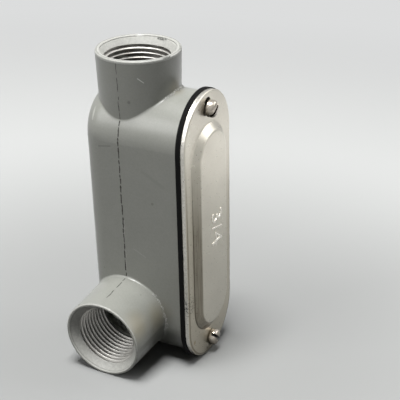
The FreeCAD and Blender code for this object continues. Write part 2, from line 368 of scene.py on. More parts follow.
def root_crumbs(hub, first_degrees, last_degrees, count, seed):
    """Crumbs of untrimmed flash and paint, sunk into the foot of a hub over part of the way round."""
    rng = random.Random(seed)
    bm = bmesh.new()
    for _ in range(count):
        angle = math.radians(rng.uniform(first_degrees, last_degrees))
        radius = hub_side_radius(hub, mouth_reach[hub] - box_reach(hub, hub_root_radius[hub], angle))
        out = abs(rng.gauss(0.0, 0.55)) * mm
        height = max(0.0, 0.5 * mm - out) * rng.random()
        spot = place_on_hub(hub, radius + out, angle, box_reach(hub, radius + out, angle) + height)
        size = rng.uniform(0.12, 0.34) * mm
        turn = Quaternion((rng.random(), rng.random(), rng.random(), rng.random())).normalized()
        stretch = Matrix.Diagonal((size, size * rng.uniform(0.5, 1.0), size * rng.uniform(0.4, 0.8), 1))
        place = Matrix.Translation(spot) @ turn.to_matrix().to_4x4() @ stretch
        bmesh.ops.create_icosphere(bm, subdivisions=2, radius=1.0, matrix=place)
    noise.seed_set(seed)
    for v in bm.verts:
        v.co += noise.noise_vector(v.co * 4000) * 0.05 * mm
    # The crumbs take the paler paint, which is partly a painted highlight.
    return new_piece(hub + "_hub_root_crumbs", bm, [pale_paint_and_sheen], 60)


root_crumbs("end", 240, 312, 130, 11)
root_crumbs("side", -115, -42, 70, 12)


# Hub rims. Each mouth ends in a narrow flat rim, tumbled round on both edges, a little uneven and
# nicked, as the casting came out of the die.
rim_outer_round = 0.6 * mm
rim_inner_radius = {"end": 13.95 * mm, "side": 14.4 * mm}
rim_inner_depth = 0.45 * mm


def hub_rim(hub, nicks):
    """Turns the rim's section about the hub. Each nick is an angle and half-width in degrees, and a
    depth."""
    steps = 6
    outer = []
    inner = []
    for step in range(steps + 1):
        turn = math.pi / 2 * step / steps
        outer.append((
            hub_mouth_radius - rim_outer_round * (1 - math.cos(turn)),
            rim_outer_round * (1 - math.sin(turn)),
        ))
        inner.append((
            rim_inner_radius[hub] + rim_inner_depth * (1 - math.sin(turn)),
            rim_inner_depth * (1 - math.cos(turn)),
        ))
    sunk = 0.9 * mm
    worn_depth = 0.7 * mm
    section = [(hub_mouth_radius, rim_outer_round + 0.5 * mm)] + outer + inner
    section += [(rim_inner_radius[hub] + 0.05 * mm, sunk), (hub_mouth_radius - 0.5 * mm, sunk + 0.3 * mm)]
    bm = bmesh.new()
    corners = [
        bm.verts.new(place_on_hub(hub, radius, 0, mouth_reach[hub] - depth)) for radius, depth in section
    ]
    ring = [bm.edges.new((a, b)) for a, b in zip(corners, corners[1:] + corners[:1])]
    axis = Vector((0, 0, 1)) if hub == "end" else Vector((-1, 0, 0))
    bmesh.ops.spin(
        bm, geom=corners + ring, cent=hub_axes, axis=axis, angle=2 * math.pi, steps=192, use_merge=True,
    )
    bmesh.ops.remove_doubles(bm, verts=bm.verts, dist=0.001 * mm)
    for v in bm.verts:
        side = v.co - hub_axes
        if hub == "end":
            angle, depth = math.atan2(side.y, side.x), end_mouth_z - v.co.z
        else:
            angle, depth = math.atan2(side.y, side.z), v.co.x - side_mouth_x
        fade = max(0.0, 1 - depth / worn_depth)
        drop = 0.05 * mm * max(0.0, 0.5 + noise.noise(v.co * 900)) * fade
        for centre, half, deep in nicks:
            off = abs((angle - math.radians(centre) + math.pi) % (2 * math.pi) - math.pi) / math.radians(half)
            if off < 1:
                ragged = 0.7 + 0.6 * noise.noise(v.co * 2500)
                drop += deep * (1 - off ** 2) * fade * ragged
        v.co += Vector((0, 0, -drop)) if hub == "end" else Vector((drop, 0, 0))
    # The rim takes the paler paint, which is partly a painted highlight along the lip.
    return new_piece(hub + "_hub_rim", bm, [pale_paint_and_sheen], 50)


hub_rim("end", [(28, 7, 0.35 * mm), (52, 2.5, 0.2 * mm), (-62, 5, 0.2 * mm), (-75, 2, 0.25 * mm)])
hub_rim("side", [(-20, 2, 0.2 * mm), (150, 4, 0.2 * mm), (172, 2, 0.15 * mm)])


# Pipe threads. Each hub is tapped 14 to the inch with a taper of 1 in 16. The entrance cone keeps
# its paint, and the first turns run in shallow at its foot. The tap left bare aluminium, dull, and
# darker in the roots.
thread_pitch = 25.4 / 14 * mm
thread_root = mounts["end_hub"]["dims"]["r_mm"] * mm
thread_height = 1.38 * mm
thread_taper = 1 / 32   # in radius
crest_radius = thread_root - thread_height
entrance_angle = {"end": 36, "side": 41}
cone_above_crests = {"end": 0.5 * mm, "side": 0.25 * mm}
run_in = 0.6 * mm
sleeve_start = 0.62 * mm   # depths from the mouth
sleeve_end = 19.79 * mm

# Tapped cast aluminium: greyish, satin, with tool lines that run round the bore.
bare, tree, where = new_material("tapped_aluminium")
tool_lines = add(tree, "ShaderNodeTexNoise", {
    "Vector": where, "Scale": 700.0, "Detail": 3.0, "Roughness": 0.65,
})
root_mottle = add(tree, "ShaderNodeTexNoise", {"Vector": where, "Scale": 180.0, "Detail": 3.0})
height = add(tree, "ShaderNodeAttribute", attribute_name="thread_height")
# The thread is darker towards its roots, patchily.
root_darkening = add(tree, "ShaderNodeMapRange", {
    "Value": height.outputs["Fac"], "From Max": 0.8, "To Min": 1.3, "To Max": 0.0,
})
root_darkness = add(tree, "ShaderNodeMath", {0: root_darkening.outputs[0], 1: root_mottle.outputs["Fac"]}, operation="MULTIPLY")
bare_tone = add(tree, "ShaderNodeMix", {
    "Factor": tool_lines.outputs["Fac"], 6: linear("#b1afaa"), 7: linear("#cfcdc8"),
}, data_type="RGBA")
bare_colour = add(tree, "ShaderNodeMix", {
    "Factor": root_darkness.outputs[0], 6: bare_tone.outputs[2], 7: linear("#38352f"),
}, data_type="RGBA")
bare_rough = add(tree, "ShaderNodeMapRange", {
    "Value": tool_lines.outputs["Fac"], "From Min": 0.3, "From Max": 0.7, "To Min": 0.36, "To Max": 0.52,
})
bare_bump = add(tree, "ShaderNodeBump", {
    "Height": tool_lines.outputs["Fac"], "Strength": 0.3, "Distance": 0.02 * mm,
})
bare_shader = add(tree, "ShaderNodeBsdfPrincipled", {
    "Base Color": bare_colour.outputs[2], "Metallic": 0.75, "Roughness": bare_rough.outputs[0],
    "Normal": bare_bump.outputs[0],
})
finish_material(tree, bare_shader)


def hub_thread(hub):
    """A closed sleeve inside a hub: one pitch of the thread's section, spun as a helix. The section
    is given in shares of the pitch and of the thread's height."""
    section = [
        (0.00, 0.00), (0.12, 0.02), (0.20, 0.16), (0.42, 0.84), (0.48, 0.97), (0.55, 1.00),
        (0.62, 0.97), (0.68, 0.84), (0.90, 0.16), (0.97, 0.02), (1.00, 0.00),
    ]
    entrance_slope = math.tan(math.radians(entrance_angle[hub]))
    entrance_radius = rim_inner_radius[hub] - 0.05 * mm
    cone_depth = rim_inner_depth + (entrance_radius - crest_radius - cone_above_crests[hub]) / entrance_slope

    def cone_radius(depth):
        """The entrance cone's radius at a depth from the mouth."""
        return entrance_radius - (depth - rim_inner_depth) * entrance_slope

    turns = int(sleeve_end / thread_pitch) + 4
    steps = 96
    bm = bmesh.new()
    first = [
        bm.verts.new((thread_root - rise * thread_height, 0, (along - 2) * thread_pitch))
        for along, rise in section
    ]
    edges = [bm.edges.new(pair) for pair in zip(first, first[1:])]
    bmesh.ops.spin(
        bm, geom=first + edges, cent=(0, 0, 0), axis=(0, 0, 1), dvec=(0, 0, thread_pitch / steps),
        angle=2 * math.pi * turns, steps=steps * turns, use_merge=False,
    )
    bmesh.ops.remove_doubles(bm, verts=bm.verts, dist=0.002 * mm)
    for plane, is_last in ((sleeve_start, False), (sleeve_end, True)):
        bmesh.ops.bisect_plane(
            bm, geom=bm.verts[:] + bm.edges[:] + bm.faces[:], plane_co=(0, 0, plane), plane_no=(0, 0, 1),
            clear_outer=is_last, clear_inner=not is_last,
        )
    layer = bm.verts.layers.float.new("thread_height")
    for v in bm.verts:
        radius = math.hypot(v.co.x, v.co.y)
        cut = (radius - crest_radius) * min(max((v.co.z - cone_depth) / run_in, 0), 1)
        v[layer] = 1 - cut / thread_height
        wanted = max(crest_radius + cut - v.co.z * thread_taper, cone_radius(v.co.z))
        v.co.x *= wanted / radius
        v.co.y *= wanted / radius
    # Faces on the entrance cone take the paler paint, which is partly a painted highlight.
    for face in bm.faces:
        off_cone = [abs(math.hypot(v.co.x, v.co.y) - cone_radius(v.co.z)) for v in face.verts]
        face.material_index = int(max(off_cone) < 0.05 * mm)
    ends = []
    back_radii = (rim_inner_radius[hub] + 0.2 * mm, thread_root + 0.25 * mm)
    for plane, back_radius in zip((sleeve_start, sleeve_end), back_radii):
        loop = [e for e in bm.edges if e.is_boundary and all(abs(v.co.z - plane) < 1e-6 for v in e.verts)]
        grown = bmesh.ops.extrude_edge_only(bm, edges=loop)["geom"]
        for v in [g for g in grown if isinstance(g, bmesh.types.BMVert)]:
            out = back_radius / math.hypot(v.co.x, v.co.y)
            v.co.x *= out
            v.co.y *= out
        ends += [g for g in grown if isinstance(g, bmesh.types.BMEdge)]
    bmesh.ops.bridge_loops(bm, edges=ends)
    turn = Matrix.Rotation(math.pi, 4, "X") if hub == "end" else Matrix.Rotation(math.pi / 2, 4, "Y")
    place = Matrix.Translation(place_on_hub(hub, 0, 0, mouth_reach[hub]))
    bmesh.ops.transform(bm, matrix=place @ turn, verts=bm.verts)
    return new_piece(hub + "_hub_thread", bm, [bare, pale_paint_and_sheen], 70)


hub_thread("end")
hub_thread("side")


# Parting line. Where the die halves met, the trimmed flash left a hairline in the paint, broken
# and uneven on the box and almost gone on the hubs.
hairline, tree, where = new_material("parting_line_dirt")
hairline_tone = add(tree, "ShaderNodeTexNoise", {"Vector": where, "Scale": 600.0})
hairline_colour = add(tree, "ShaderNodeMix", {
    "Factor": hairline_tone.outputs["Fac"], 6: linear("#191714"), 7: linear("#3d3b35"),
}, data_type="RGBA")
hairline_shader = add(tree, "ShaderNodeBsdfPrincipled", {
    "Base Color": hairline_colour.outputs[2], "Roughness": 0.75,
})
finish_material(tree, hairline_shader)


def parting_line(name, path, width, gaps, seed, material, aside=0.0):
    """Slivers of flash along a path of (x, z) from the hub axes, each a thin closed strip. gaps is
    the share of the length that is missing; aside moves the strip towards the cover."""
    proud, sunk = 0.04 * mm, 0.3 * mm
    rng = random.Random(seed)
    bm = bmesh.new()
    lengths = [0.0]
    for a, b in zip(path, path[1:]):
        lengths.append(lengths[-1] + math.dist(a, b))

    def spot(distance):
        """The point at a distance along the path, and the way out of the metal there."""
        distance = min(max(distance, 0), lengths[-1] - 1e-9)
        i = max(k for k in range(len(path) - 1) if lengths[k] <= distance)
        t = (distance - lengths[i]) / (lengths[i + 1] - lengths[i])
        (x, z), (next_x, next_z) = path[i], path[i + 1]
        dx, dz = next_x - x, next_z - z
        long = math.hypot(dx, dz)
        return Vector((x + dx * t, 0, z + dz * t)), Vector((dz / long, 0, -dx / long))

    at = 0.0
    while at < lengths[-1]:
        piece_length = rng.uniform(1.2, 5.5) * mm
        end = min(at + piece_length, lengths[-1])
        count = max(3, int((end - at) / (0.35 * mm)))
        grid = bmesh.ops.create_grid(bm, x_segments=count, y_segments=1, size=1.0)["verts"]
        shift = rng.uniform(-0.12, 0.12) * mm - aside
        for v in grid:
            along = at + (end - at) * (v.co.x + 1) / 2
            place, out = spot(along)
            pointed = 1 - abs(v.co.x) ** 6
            wander = 0.22 * mm * noise.noise(Vector((along * 300, seed, 0)))
            uneven = 0.45 + 0.9 * abs(noise.noise(Vector((along * 900, seed, 7))))
            half = width / 2 * uneven * pointed + 0.015 * mm
            v.co = hub_axes + place + out * proud + Vector((0, wander + shift + half * v.co.y, 0))
        members = set(grid)
        faces = [f for f in bm.faces if f.verts[0] in members]
        lower = bmesh.ops.extrude_face_region(bm, geom=faces)["geom"]
        for v in [g for g in lower if isinstance(g, bmesh.types.BMVert)]:
            v.co += (hub_axes + Vector((0, v.co.y - hub_axes.y, 0)) - v.co).normalized() * sunk
        at = end + rng.uniform(0.1, 1.0) * gaps * piece_length
    return new_piece(name, bm, [material], 40)


end_root_z = box_height(hub_root_radius["end"], 0)
upper = upper_centre_z - hub_axes.z
above_side_hub = (-body_half_width, hub_root_radius["side"] + 0.6 * mm)
round_steps = 12
first_turn = math.asin((end_root_z - upper) / body_half_width)
box_path = []
for step in range(round_steps + 1):
    turn = first_turn * (1 - step / round_steps)
    box_path.append((-body_half_width * math.cos(turn), upper + body_half_width * math.sin(turn)))
box_path.append(above_side_hub)
ridge_path = [(-body_half_width, 42 * mm), above_side_hub]
end_hub_path = [
    (-hub_side_radius("end", 1 * mm), mouth_reach["end"] - 1 * mm),
    (-hub_root_radius["end"], end_root_z + 0.5 * mm),
]
side_hub_path = [
    (-body_half_width - 0.8 * mm, hub_root_radius["side"]),
    (5 * mm - mouth_reach["side"], hub_side_radius("side", 5 * mm)),
]
parting_line("parting_line_box", box_path, 0.72 * mm, 0.12, 3, hairline)
# The ridge beside the box's hairline takes the paler paint as a painted highlight on the flash.
parting_line("parting_ridge_box", ridge_path, 0.3 * mm, 0.5, 4, pale_paint_and_sheen, 0.42 * mm)
parting_line("parting_line_end_hub", end_hub_path, 0.26 * mm, 0.4, 5, hairline)
parting_line("parting_line_side_hub", side_hub_path, 0.36 * mm, 1.2, 8, hairline)


# Gasket. A die-cut sheet of black neoprene, 1.9 mm thick, squeezed between the casting and the
# cover. The CAD solid keeps its mesh, and its edge is matt, dark and finely rough.
rubber, tree, where = new_material("black_neoprene")
rubber_tone = add(tree, "ShaderNodeTexNoise", {"Vector": where, "Scale": 500.0, "Detail": 3.0})
rubber_colour = add(tree, "ShaderNodeMix", {
    "Factor": rubber_tone.outputs["Fac"], 6: linear("#050505"), 7: linear("#0c0c0b"),
}, data_type="RGBA")
rubber_bump = add(tree, "ShaderNodeBump", {
    "Height": rubber_tone.outputs["Fac"], "Strength": 0.5, "Distance": 0.05 * mm,
})
rubber_shader = add(tree, "ShaderNodeBsdfPrincipled", {
    "Base Color": rubber_colour.outputs[2], "Roughness": 0.8, "Specular IOR Level": 0.1,
    "Normal": rubber_bump.outputs[0],
})
finish_material(tree, rubber_shader)
frame["nodes"]["gasket"].data.materials[0] = rubber


# Cover. Sheet steel, 1.8 mm, blanked and pressed with a raised panel, then satin nickel plated. The
# blanked edge is bright and torn. The panel's slopes are painted greyer as painted shade, with fine drag
# lines, and a painted shade line runs along the panel's foot. The panel carries the trade size, stamped
# from behind.
cover_low, cover_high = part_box("cover")
thickness = 1.79 * mm
panel_side_margin = 4.49 * mm
panel_end_margin = 11.75 * mm
panel_rise = 2.2 * mm
panel_slope = math.radians(38)
slope_width = 3.99 * mm
crest_round = 2.2 * mm
foot_round = 1.2 * mm
cover_half_width = (cover_high.x - cover_low.x) / 2
panel_foot = cover_half_width - panel_side_margin   # half-widths of the raised panel
panel_flat = panel_foot - slope_width
panel_low = cover_low.z + panel_end_margin + panel_foot   # centres of its round ends
panel_high = cover_high.z - panel_end_margin - panel_foot
sheet_low = cover_low.z + cover_half_width   # centres of the sheet's round ends
sheet_high = cover_high.z - cover_half_width
panel_face_y = cover_low.y
flange_y = panel_face_y + panel_rise

satin, tree, where = new_material("satin_nickel_plate")
place = add(tree, "ShaderNodeSeparateXYZ", {0: where}).outputs
across = add(tree, "ShaderNodeMath", {0: place["X"], 1: hub_axes.x}, operation="SUBTRACT").outputs[0]


def from_line(low, high):
    """Distance, in the cover's plane, from the line between two heights on the cover's middle."""
    on_line = add(tree, "ShaderNodeClamp", {"Value": place["Z"], "Min": low, "Max": high}).outputs[0]
    along = add(tree, "ShaderNodeMath", {0: place["Z"], 1: on_line}, operation="SUBTRACT").outputs[0]
    flat_place = add(tree, "ShaderNodeCombineXYZ", {"X": across, "Y": along}).outputs[0]
    return add(tree, "ShaderNodeVectorMath", {0: flat_place}, operation="LENGTH").outputs["Value"]


def band(distance, inner, outer, soft):
    """A factor of 1 where a distance lies between two limits, soft at both."""
    rise = add(tree, "ShaderNodeMapRange", {
        "Value": distance, "From Min": inner - soft, "From Max": inner,
    }, interpolation_type="SMOOTHSTEP")
    fall = add(tree, "ShaderNodeMapRange", {
        "Value": distance, "From Min": outer, "From Max": outer + soft, "To Min": 1.0, "To Max": 0.0,
    }, interpolation_type="SMOOTHSTEP")
    both = add(tree, "ShaderNodeMath", {0: rise.outputs[0], 1: fall.outputs[0]}, operation="MULTIPLY")
    return both.outputs[0]


def darken(colour, factor, amount, tone):
    """Multiplies a colour by a tone, by an amount of the factor."""
    much = add(tree, "ShaderNodeMath", {0: factor, 1: amount}, operation="MULTIPLY").outputs[0]
    return add(tree, "ShaderNodeMix", {
        "Factor": much, 6: colour, 7: linear(tone),
    }, data_type="RGBA", blend_type="MULTIPLY").outputs[2]


satin_noise = add(tree, "ShaderNodeTexNoise", {
    "Vector": where, "Scale": 900.0, "Detail": 3.0, "Roughness": 0.6,
}).outputs["Fac"]
stains = add(tree, "ShaderNodeTexNoise", {"Vector": where, "Scale": 60.0, "Detail": 3.0})
satin_tone = add(tree, "ShaderNodeMix", {
    "Factor": stains.outputs["Fac"], 6: linear("#b0aba0"), 7: linear("#c6c2b6"),
}, data_type="RGBA").outputs[2]
drag_place = add(tree, "ShaderNodeVectorMath", {0: where, 1: (1.0, 1.0, 0.04)}, operation="MULTIPLY")
drag = add(tree, "ShaderNodeTexNoise", {"Vector": drag_place.outputs[0], "Scale": 2600.0})
drag_dark = add(tree, "ShaderNodeMapRange", {
    "Value": drag.outputs["Fac"], "From Min": 0.35, "From Max": 0.65, "To Min": 0.8,
}).outputs[0]
from_panel = from_line(panel_low, panel_high)
from_cover = from_line(sheet_low, sheet_high)
slope = band(from_panel, panel_flat + 0.9 * mm, panel_foot - 0.5 * mm, 0.6 * mm)
slope = add(tree, "ShaderNodeMath", {0: slope, 1: drag_dark}, operation="MULTIPLY").outputs[0]
foot_line = band(from_panel, panel_foot - 0.45 * mm, panel_foot - 0.15 * mm, 0.2 * mm)
flange = band(from_panel, panel_foot, cover_half_width * 2, 0.3 * mm)
die_roll = band(from_cover, cover_half_width - 1.0 * mm, cover_half_width - 0.4 * mm, 0.2 * mm)

# All four zones are painted shade, darker low down, and fade out towards the cover's upper end.
shade_below_top = add(tree, "ShaderNodeMapRange", {
    "Value": place["Z"], "From Min": cover_high.z - 52 * mm, "From Max": cover_high.z - 20 * mm,
    "To Min": 1.0, "To Max": 0.0,
}).outputs[0]
cover_tone = satin_tone
for zone, amount, tone_code in (
    (slope, 0.9, "#98938a"), (foot_line, 0.8, "#7d776b"),
    (flange, 0.6, "#e4dfd4"), (die_roll, 0.75, "#9a948a"),
):
    zone_shade = add(tree, "ShaderNodeMath", {0: zone, 1: shade_below_top}, operation="MULTIPLY").outputs[0]
    cover_tone = darken(cover_tone, zone_shade, amount, tone_code)

# The blanked edge is square to the cover's face: plated over torn, bright metal.
true_normal = add(tree, "ShaderNodeNewGeometry").outputs["True Normal"]
facing = add(tree, "ShaderNodeSeparateXYZ", {0: true_normal}).outputs["Y"]
facing_out = add(tree, "ShaderNodeMath", {0: facing}, operation="ABSOLUTE").outputs[0]
edge = add(tree, "ShaderNodeMapRange", {
    "Value": facing_out, "From Min": 0.3, "From Max": 0.5, "To Min": 1.0, "To Max": 0.0,
}).outputs[0]
torn = add(tree, "ShaderNodeTexNoise", {"Vector": where, "Scale": 1400.0, "Detail": 3.0, "Roughness": 0.7})
torn_tone = add(tree, "ShaderNodeMix", {
    "Factor": torn.outputs["Fac"], 6: linear("#928e85"), 7: linear("#e9e6df"),
}, data_type="RGBA").outputs[2]
cover_colour = add(tree, "ShaderNodeMix", {
    "Factor": edge, 6: cover_tone, 7: torn_tone,
}, data_type="RGBA").outputs[2]

# Knocks on the lower left of the flange, and a yellowish spot where the plating is thin.
knock_noise = add(tree, "ShaderNodeTexNoise", {"Vector": where, "Scale": 1500.0, "Detail": 1.0})
knock = add(tree, "ShaderNodeMapRange", {
    "Value": knock_noise.outputs["Fac"], "From Min": 0.55, "From Max": 0.62,
}).outputs[0]
knock_centre = (hub_axes.x - 17.2 * mm, flange_y, hub_axes.z + 10.5 * mm)
knocked = add(tree, "ShaderNodeMath", {
    0: patch(tree, where, knock_centre, 2.4 * mm, 3 * mm), 1: knock,
}, operation="MULTIPLY").outputs[0]
cover_colour = darken(cover_colour, knocked, 0.9, "#5c6064")
spot_centre = (hub_axes.x - 14.2 * mm, flange_y, hub_axes.z - 8.3 * mm)
cover_colour = darken(cover_colour, patch(tree, where, spot_centre, 0.3 * mm, 1.0 * mm), 0.6, "#b39a62")

satin_rough = add(tree, "ShaderNodeMapRange", {
    "Value": satin_noise, "From Min": 0.3, "From Max": 0.7, "To Min": 0.26, "To Max": 0.38,
}).outputs[0]
bump_height = add(tree, "ShaderNodeMix", {"Factor": edge, 2: satin_noise, 3: torn.outputs["Fac"]})
bump_depth = add(tree, "ShaderNodeMapRange", {"Value": edge, "To Min": 0.02 * mm, "To Max": 0.25 * mm})
satin_bump = add(tree, "ShaderNodeBump", {
    "Height": bump_height.outputs[0], "Strength": 0.35, "Distance": bump_depth.outputs[0],
})
satin_shader = add(tree, "ShaderNodeBsdfPrincipled", {
    "Base Color": cover_colour, "Metallic": 0.95, "Roughness": satin_rough, "Normal": satin_bump.outputs[0],
})
finish_material(tree, satin_shader)


def racetrack_loop(bm, radius, low, high, y, ragged=0.0):
    """A closed loop of vertices with straight sides and round ends, about the cover's middle line."""
    along_side, round_end = 150, 120
    spots = []
    for step in range(round_end):
        turn = math.pi * step / round_end
        spots.append((radius * math.cos(turn), high + radius * math.sin(turn)))
    for step in range(along_side):
        spots.append((-radius, high + (low - high) * step / along_side))
    for step in range(round_end):
        turn = math.pi * (1 + step / round_end)
        spots.append((radius * math.cos(turn), low + radius * math.sin(turn)))
    for step in range(along_side):
        spots.append((radius, low + (high - low) * step / along_side))
    verts = []
    for x, z in spots:
        spot = Vector((hub_axes.x + x, y, z))
        inward = Vector((-x, 0, min(max(z, low), high) - z)).normalized()
        verts.append(bm.verts.new(spot + inward * ragged * (0.5 + noise.noise(spot * 2500))))
    return verts


def skin(bm, loops):
    """Faces from each loop to the next, and a flat face on the first and the last."""
    for a, b in zip(loops, loops[1:]):
        for index in range(len(a)):
            after = (index + 1) % len(a)
            bm.faces.new((a[index], a[after], b[after], b[index]))
    bm.faces.new(loops[0])
    bm.faces.new(loops[-1])
    bmesh.ops.recalc_face_normals(bm, faces=bm.faces)


def cut_away(blank, cutters):
    """Cuts each cutter from the blank, removes them all, and returns the mesh that is left."""
    for cutter in cutters:
        cut = blank.modifiers.new(cutter.name, "BOOLEAN")
        cut.operation = "DIFFERENCE"
        cut.solver = "EXACT"
        cut.object = cutter
    bpy.context.view_layer.update()
    left = bpy.data.meshes.new_from_object(blank.evaluated_get(bpy.context.evaluated_depsgraph_get()))
    for thing in [blank] + cutters:
        bpy.data.objects.remove(thing)
    return left


# The sheet's loops run from the panel's flat top over its crest, its foot and the die roll, down the
# torn edge, and back under the sheet to the recess behind the panel.
crest_steps, foot_steps, roll_steps, edge_steps = 7, 5, 7, 5
roll_width, roll_depth = 0.85 * mm, 0.4 * mm
bm = bmesh.new()
loops = []
for step in range(crest_steps + 1):
    turn = panel_slope * step / crest_steps
    radius = panel_flat + crest_round * math.sin(turn)
    y = panel_face_y + crest_round * (1 - math.cos(turn))
    loops.append(racetrack_loop(bm, radius, panel_low, panel_high, y))
for step in range(foot_steps + 1):
    turn = panel_slope * (1 - step / foot_steps)
    radius = panel_foot - foot_round * math.sin(turn)
    y = flange_y - foot_round * (1 - math.cos(turn))
    loops.append(racetrack_loop(bm, radius, panel_low, panel_high, y))
for step in range(roll_steps + 1):
    turn = math.pi / 2 * step / roll_steps
    radius = cover_half_width - roll_width * (1 - math.sin(turn))
    y = flange_y + roll_depth * (1 - math.cos(turn))
    loops.append(racetrack_loop(bm, radius, sheet_low, sheet_high, y))
for step in range(1, edge_steps + 1):
    y = flange_y + roll_depth + (thickness - roll_depth) * step / edge_steps
    ragged = 0.07 * mm if step < edge_steps else 0.0
    loops.append(racetrack_loop(bm, cover_half_width, sheet_low, sheet_high, y, ragged))
recess_foot = panel_foot - (foot_round + thickness) * math.tan(panel_slope / 2)
recess_flat = recess_foot - panel_rise / math.tan(panel_slope)
for radius, y in ((recess_foot, flange_y + thickness), (recess_flat, flange_y + thickness - panel_rise)):
    loops.append(racetrack_loop(bm, radius, panel_low, panel_high, y))
skin(bm, loops)
sheet = made_object("cover_sheet", bm)
slot_radius = 2.4 * mm
slot_run = 1.7 * mm
screw_inset = 6.1 * mm
cutters = []
slot_front, slot_back = flange_y - 1 * mm, flange_y + 3 * mm
for inner, way in ((cover_high.z - screw_inset, 1), (cover_low.z + screw_inset, -1)):
    low, high = sorted((inner, inner + way * slot_run))
    bm = bmesh.new()
    skin(bm, [racetrack_loop(bm, slot_radius, low, high, y) for y in (slot_front, slot_back)])
    cutters.append(made_object("cover_slot", bm))
bm = bmesh.new()
bm.from_mesh(cut_away(sheet, cutters))
bmesh.ops.remove_doubles(bm, verts=bm.verts, dist=0.001 * mm)
cover_piece = new_piece("cover_dressed", bm, [satin], 35)
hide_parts("cover")

# The stamped figures are lighter and glossier than the plate: a painted highlight along their strokes.
stamp_highlight, tree, where = new_material("nickel_figures_painted_highlight")
stamp_shader = add(tree, "ShaderNodeBsdfPrincipled", {
    "Base Color": linear("#e2ded4"), "Metallic": 0.9, "Roughness": 0.22,
})
finish_material(tree, stamp_shader)

size_text = bpy.data.curves.new("trade_size", "FONT")
size_text.body = "3/4"
size_text.size = 12 * mm
size_text.align_x = "CENTER"
size_text.align_y = "CENTER"
size_text.extrude = 0.1 * mm
size_text.bevel_depth = 0.22 * mm
size_text.bevel_resolution = 2
size_text.offset = -0.25 * mm
text_object = bpy.data.objects.new("trade_size_text", size_text)
bpy.context.collection.objects.link(text_object)
bpy.context.view_layer.update()
stamped = bpy.data.meshes.new_from_object(text_object)
bpy.data.objects.remove(text_object)
bm = bmesh.new()
bm.from_mesh(stamped)
text_middle = (hub_axes.x + 1.2 * mm, panel_face_y + 0.08 * mm, hub_axes.z + 36 * mm)
text_turn = Matrix.Rotation(math.pi / 2, 4, "X") @ Matrix.Rotation(-math.pi / 2, 4, "Z")
bmesh.ops.transform(bm, matrix=Matrix.Translation(text_middle) @ text_turn, verts=bm.verts)
new_piece("trade_size", bm, [stamp_highlight], 30)


# Cover screws. Slotted steel machine screws, nickel plated, with a straight-sided head under a low
# dome and a broken lower edge. The upper one isn't run fully home. The slots are painted near-black as
# shade, and each head is painted darker where it faces down, as painted shade.
head_radius = 3.15 * mm
head_side = 2.3 * mm
head_crown = 0.9 * mm
head_height = head_side + head_crown
solid_head_height = 3.6 * mm   # the CAD screw's head, from its seat to its top
shank_radius = 2.08 * mm
tip_chamfer = 0.6 * mm
slot_width = 1.2 * mm
slot_depth = 1.9 * mm
slot_turn = {"upper_cover_screw": 35.0, "lower_cover_screw": -50.0}

plated, tree, where = new_material("bright_nickel_plate")
plated_noise = add(tree, "ShaderNodeTexNoise", {"Vector": where, "Scale": 900.0})
plated_rough = add(tree, "ShaderNodeMapRange", {
    "Value": plated_noise.outputs["Fac"], "From Min": 0.3, "From Max": 0.7, "To Min": 0.16, "To Max": 0.3,
})
plated_bump = add(tree, "ShaderNodeBump", {
    "Height": plated_noise.outputs["Fac"], "Strength": 0.5, "Distance": 0.12 * mm,
})
# The head is painted darker where its surface faces down: painted shade.
normal = add(tree, "ShaderNodeNewGeometry").outputs["Normal"]
facing = add(tree, "ShaderNodeSeparateXYZ", {0: normal}).outputs["Z"]
painted_underside_shade = add(tree, "ShaderNodeMapRange", {
    "Value": facing, "From Min": -0.5, "From Max": 0.35, "To Min": 1.0, "To Max": 0.0,
}).outputs[0]
plated_tone = add(tree, "ShaderNodeMix", {
    "Factor": painted_underside_shade, 6: linear("#b3aba0"), 7: linear("#5c554b"),
}, data_type="RGBA")
plated_shader = add(tree, "ShaderNodeBsdfPrincipled", {
    "Base Color": plated_tone.outputs[2], "Metallic": 1.0, "Roughness": plated_rough.outputs[0],
    "Normal": plated_bump.outputs[0],
})
finish_material(tree, plated_shader)

slot_painted_shade, tree, where = new_material("slot_painted_shade")
slot_shader = add(tree, "ShaderNodeBsdfPrincipled", {
    "Base Color": linear("#15130f"), "Roughness": 0.7,
})
finish_material(tree, slot_shader)


